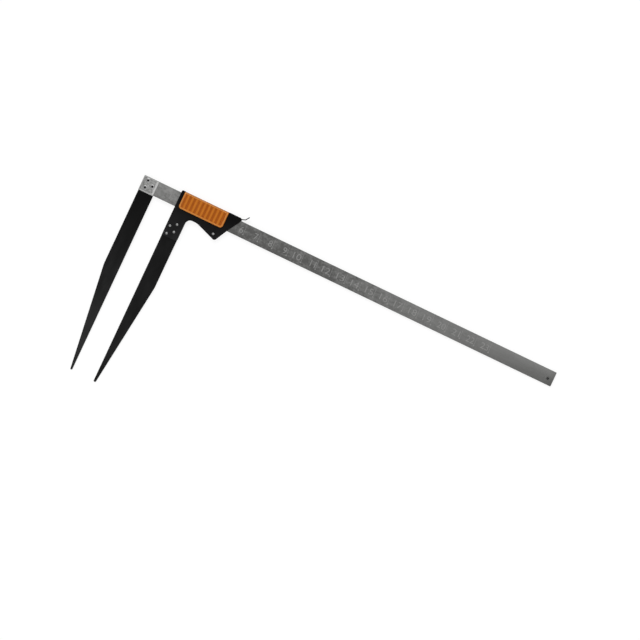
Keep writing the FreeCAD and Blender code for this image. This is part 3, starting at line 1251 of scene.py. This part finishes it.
@dataclass
class Grip:
    """The moulded saddle: a rimmed plate on each cheek, a bridge over the top and rounded ribs."""

    corner: float = 4.8
    least_corner: float = 0.5
    top_corner: float = 1.4
    least_top_corner: float = 0.35
    cheek_z: float = 3.1
    floor_z: float = 6.0
    crest_z: float = 7.2
    bridge_low: float = 26.9
    bridge_side_low: float = 26.0
    bridge_inset: float = 0.02
    bridge_overlap: float = 0.1
    spring_gap: float = 1.6
    arc_steps: int = 8
    rib_count: int = 9
    rib_pitch: float = 7.43
    rib_shift: float = -0.4
    rib_width: float = 4.9
    rib_low: float = 2.4
    rib_high: float = 26.4
    rib_steps: int = 33
    rib_round_points: int = 24
    rib_straight: float = 0.43
    rib_end_gain: float = 13.9
    side_profile: tuple[tuple[float, float], ...] = (
        (0.0, 3.1), (0.0, 5.9), (0.15, 6.55), (0.5, 7.0), (1.0, 7.2), (2.1, 7.2),
        (2.55, 7.08), (2.8, 6.75), (2.95, 6.35), (3.2, 6.08), (3.6, 6.0),
    )
    top_profile: tuple[tuple[float, float], ...] = (
        (0.0, 3.1), (0.0, 4.9), (0.2, 5.8), (0.6, 6.5), (1.1, 6.95), (1.5, 7.08),
        (1.75, 7.0), (1.95, 6.7), (2.1, 6.35), (2.35, 6.08), (2.7, 6.0),
    )

    def ring(
        self, low: Vector, high: Vector, side: tuple[float, float], top: tuple[float, float]
    ) -> list[Vector]:
        """Makes one loop of a side plate: a rounded rectangle, set in from the plate's outline.

        Args:
            low: The grip's lowest corner in millimetres.
            high: Its highest corner.
            side: How far the loop is set in at the sides and below, and its height there.
            top: The same along the upper edge.

        Returns:
            The loop's points in metres.
        """
        left, right = low.x + side[0], high.x - side[0]
        bottom, upper = low.y + side[0], high.y - top[0]
        wide = max(self.corner - side[0], self.least_corner)
        tight = max(self.top_corner - side[0], self.least_top_corner)
        corners = [
            (left + wide, bottom + wide, wide, math.pi, 0.0),
            (right - wide, bottom + wide, wide, 1.5 * math.pi, 0.0),
            (right - tight, upper - tight, tight, 0.0, 1.0),
            (left + tight, upper - tight, tight, 0.5 * math.pi, 1.0),
        ]
        points = []
        for index, (x, y, radius, start, is_top) in enumerate(corners):
            for step in range(self.arc_steps + 1):
                share = step / self.arc_steps
                turn = start + share * math.pi / 2
                toward_top = (share if index == 2 else 1 - share) * is_top
                height = side[1] + (top[1] - side[1]) * toward_top
                reach = Vector((math.cos(turn), math.sin(turn), 0.0)) * radius
                points.append((Vector((x, y, height)) + reach) * MM)
        return points

    def saddle(self, low: Vector, high: Vector) -> bpy.types.Object:
        """Makes both side plates and the bridge over the housing.

        Args:
            low: The grip's lowest corner in millimetres.
            high: Its highest corner.

        Returns:
            The saddle.
        """
        mesh = bmesh.new()
        for face in Face:
            loops = []
            for side, top in zip(self.side_profile, self.top_profile):
                loop = self.ring(low, high, side, top)
                loops.append([Vector((p.x, p.y, p.z * face.value)) for p in loop])
            skin(mesh, loops)
        half = self.cheek_z + self.bridge_overlap
        section = [
            (self.bridge_side_low, half),
            (high.y, half),
            (high.y, -half),
            (self.bridge_side_low, -half),
            (self.bridge_side_low, -self.spring_gap),
            (self.bridge_low, -self.spring_gap),
            (self.bridge_low, self.spring_gap),
            (self.bridge_side_low, self.spring_gap),
        ]
        ends = []
        for x in (low.x + self.bridge_inset, high.x - self.bridge_inset):
            ends.append([Vector((x, y, z)) * MM for y, z in section])
        skin(mesh, ends)
        return piece_from_bmesh("grip_saddle", mesh, GRIP_PLASTIC.material())

    def rib_tree(self) -> PieceTree:
        """Builds the tree of the ribs: a bar with rounded ends, repeated in a row on both faces.

        Returns:
            The tree.
        """
        tree = PieceTree(
            "grip_ribs",
            {
                "Count": "Int",
                "Pitch": "Float",
                "Row Length": "Float",
                "Rib Length": "Float",
                "Rib Width": "Float",
                "Rib Height": "Float",
                "Floor": "Float",
                "Middle": "Vector",
            },
        )
        line = tree.add(
            "GeometryNodeCurvePrimitiveLine", {"Start": (0.0, -0.5, 0.0), "End": (0.0, 0.5, 0.0)}
        )
        steps = tree.add(
            "GeometryNodeResampleCurve", {"Curve": line.outputs[0], "Count": self.rib_steps}
        )
        along = tree.add("GeometryNodeSplineParameter").outputs["Factor"]
        from_middle = tree.calc("ABSOLUTE", tree.calc("SUBTRACT", along, 0.5))
        beyond = tree.calc("SUBTRACT", from_middle, self.rib_straight)
        rounding = tree.calc("MULTIPLY", tree.calc("MAXIMUM", beyond, 0.0), self.rib_end_gain)
        square = tree.calc("MULTIPLY", rounding, rounding)
        swell = tree.calc("SQRT", tree.calc("SUBTRACT", 1.0, square))
        swelled = tree.add(
            "GeometryNodeSetCurveRadius", {"Curve": steps.outputs[0], "Radius": swell}
        )
        ring = tree.add(
            "GeometryNodeCurvePrimitiveCircle",
            {"Resolution": self.rib_round_points, "Radius": 1.0},
        )
        bar = tree.add(
            "GeometryNodeCurveToMesh",
            {
                "Curve": swelled.outputs[0],
                "Profile Curve": ring.outputs[0],
                "Scale": swell,
                "Fill Caps": True,
            },
        )
        size = tree.vector(
            tree.calc("MULTIPLY", tree.given("Rib Width"), 0.5),
            tree.given("Rib Length"),
            tree.given("Rib Height"),
        )
        rib = tree.moved(bar.outputs[0], scale=size)
        row_start = tree.calc("MULTIPLY", tree.given("Row Length"), -0.5)
        start = tree.vector(x=row_start, z=tree.given("Floor"))
        row = tree.add(
            "GeometryNodeMeshLine",
            {
                "Count": tree.given("Count"),
                "Start Location": start,
                "Offset": tree.vector(x=tree.given("Pitch")),
            },
        )
        front = tree.repeated(row.outputs["Mesh"], rib)
        back = tree.moved(front, turn=(0.0, HALF_TURN, 0.0))
        tree.close(tree.moved(tree.joined(front, back), tree.given("Middle")))
        return tree

    def build(self) -> None:
        """Makes the saddle and its ribs where the CAD node is."""
        low, high = (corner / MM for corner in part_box("grip"))
        saddle = self.saddle(low, high)
        middle_x = (low.x + high.x) / 2 + self.rib_shift
        middle_y = (self.rib_low + self.rib_high) / 2
        sizes = {
            "Count": self.rib_count,
            "Pitch": self.rib_pitch * MM,
            "Row Length": (self.rib_count - 1) * self.rib_pitch * MM,
            "Rib Length": (self.rib_high - self.rib_low) * MM,
            "Rib Width": self.rib_width * MM,
            "Rib Height": (self.crest_z - self.floor_z) * MM,
            "Floor": self.floor_z * MM,
            "Middle": [middle_x * MM, middle_y * MM, 0.0],
            "Finish": RIB_PLASTIC.material(),
        }
        ribs = self.rib_tree().grow("grip_ribs", [(0.0, 0.0, 0.0)], sizes)
        for piece in (saddle, ribs):
            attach(piece, Body.SLIDER.value)
        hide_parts("grip")


@dataclass(frozen=True)
class Lamp:
    """A broad lamp far away."""

    name: str
    azimuth: float
    height: float
    strength: float
    width: float
    distance: float = 3.0

    def build(self) -> None:
        """Hangs the lamp up, turned to the object."""
        data = bpy.data.lights.new(self.name, "SUN")
        data.energy = self.strength
        data.angle = math.radians(self.width)
        lamp = bpy.data.objects.new(self.name, data)
        turn, rise = math.radians(self.azimuth), math.radians(self.height)
        toward = Vector(
            (math.cos(turn) * math.cos(rise), math.sin(turn) * math.cos(rise), math.sin(rise))
        )
        lamp.rotation_euler = toward.to_track_quat("Z", "Y").to_euler()
        lamp.location = toward * self.distance
        bpy.context.scene.collection.objects.link(lamp)


@dataclass
class Studio:
    """The pale floor that the tool lies on, the soft light and the photograph's camera.

    Lengths are in millimetres, but for the floor and the camera's distance and width, and
    angles are in degrees.
    """

    contacts: tuple[Triple, Triple, Triple] = (
        (118.0, 1.9, -7.2),
        (690.4, 9.9, -4.5),
        (40.4, -304.5, -1.6),
    )
    floor_half_width: float = 6.0
    floor_white: float = 0.8
    floor_kept_shadow: float = 0.16
    floor_lift: float = 0.85
    sky: float = 0.5
    lamps: tuple[Lamp, ...] = (
        Lamp("key_light", azimuth=115.0, height=58.0, strength=1.5, width=30.0),
        Lamp("fill_light", azimuth=-60.0, height=62.0, strength=0.6, width=50.0),
    )
    camera_target: Triple = (323.34, -62.76, 0.0)
    camera_distance: float = 3.0
    camera_width: float = 1.00649
    camera_tilt: float = 9.089
    camera_toward: float = 30.0
    camera_roll: float = 25.348
    camera_clip: float = 60.0

    def seen_directly(self, sheet: NodeSheet) -> Socket:
        """Returns one for rays from the camera and from gloss or glass, and zero for the rest."""
        path = sheet.add("ShaderNodeLightPath").outputs
        gloss = sheet.calc("MAXIMUM", path["Is Glossy Ray"], path["Is Transmission Ray"])
        return sheet.calc("MAXIMUM", path["Is Camera Ray"], gloss)

    def floor(self) -> None:
        """Lays the floor through the three points on which the tool rests."""
        a, b, c = (Vector(p) * MM for p in self.contacts)
        upward = (b - a).cross(c - a).normalized()
        if upward.z < 0:
            upward.negate()
        centre = Vector(self.camera_target) * MM
        drop = (centre.x - a.x) * upward.x + (centre.y - a.y) * upward.y
        centre.z = a.z - drop / upward.z
        along = Vector((1.0, 0.0, -upward.x / upward.z)).normalized()
        across = upward.cross(along)
        mesh = bmesh.new()
        corners = []
        for i, j in ((-1, -1), (1, -1), (1, 1), (-1, 1)):
            away = (along * i + across * j) * self.floor_half_width
            corners.append(mesh.verts.new(centre + away))
        mesh.faces.new(corners)
        sheet = ShaderSheet("floor_white")
        white, kept = self.floor_white, self.floor_kept_shadow
        lit = sheet.add("ShaderNodeBsdfDiffuse", {"Color": (white, white, white, 1.0)})
        soft = sheet.add("ShaderNodeBsdfDiffuse", {"Color": (kept, kept, kept, 1.0)})
        glow = sheet.add("ShaderNodeEmission", {"Strength": self.floor_lift})
        shown = sheet.add("ShaderNodeAddShader", {0: soft.outputs[0], 1: glow.outputs[0]})
        mixed = sheet.add(
            "ShaderNodeMixShader",
            {0: self.seen_directly(sheet), 1: lit.outputs[0], 2: shown.outputs[0]},
        )
        sheet.add("ShaderNodeOutputMaterial", {"Surface": mixed.outputs[0]})
        piece_from_bmesh("studio_floor", mesh, sheet.material)

    def world(self) -> None:
        """Makes the sky: white where it is seen, and a soft light elsewhere."""
        world = bpy.data.worlds.new("studio_sky")
        bpy.context.scene.world = world
        world.use_nodes = True
        world.node_tree.nodes.clear()
        sheet = NodeSheet(world.node_tree)
        dim = sheet.add("ShaderNodeBackground", {"Strength": self.sky})
        white = sheet.add("ShaderNodeBackground", {"Strength": 1.0})
        for background in (dim, white):
            background.inputs["Color"].default_value = (1.0, 1.0, 1.0, 1.0)
        mixed = sheet.add(
            "ShaderNodeMixShader",
            {0: self.seen_directly(sheet), 1: dim.outputs[0], 2: white.outputs[0]},
        )
        sheet.add("ShaderNodeOutputWorld", {"Surface": mixed.outputs[0]})

    def camera(self) -> None:
        """Sets the camera where the measured edges of the photograph put it."""
        tilt, toward, roll = (
            math.radians(a) for a in (self.camera_tilt, self.camera_toward, self.camera_roll)
        )
        lean = Matrix.Rotation(tilt, 3, Vector((-math.sin(toward), math.cos(toward), 0.0)))
        turned = lean @ Matrix.Rotation(roll, 3, "Z")
        data = bpy.data.cameras.new("photo_camera")
        data.type = "ORTHO"
        data.ortho_scale = self.camera_width
        data.clip_end = self.camera_clip
        camera = bpy.data.objects.new("photo_camera", data)
        backward = turned @ Vector((0.0, 0.0, 1.0))
        place = Vector(self.camera_target) * MM + backward * self.camera_distance
        camera.matrix_world = Matrix.Translation(place) @ turned.to_4x4()
        bpy.context.scene.collection.objects.link(camera)
        bpy.context.scene.camera = camera

    def build(self) -> None:
        """Makes floor, sky, lamps and camera."""
        bpy.context.scene.view_settings.view_transform = "Standard"
        self.floor()
        self.world()
        for lamp in self.lamps:
            lamp.build()
        self.camera()
        LOG.info("studio: floor, sky, %d lamps and camera", len(self.lamps))


def main() -> None:
    """Builds every sub-assembly in order and reports each piece."""
    logging.basicConfig(level=logging.INFO, format="%(name)s: %(message)s")
    CadDress().dress()
    PrintedScale().build()
    HeadScrews().build()
    StopPin().build()
    Rivets().build()
    Grip().build()
    Studio().build()


if __name__ == "__main__":
    main()
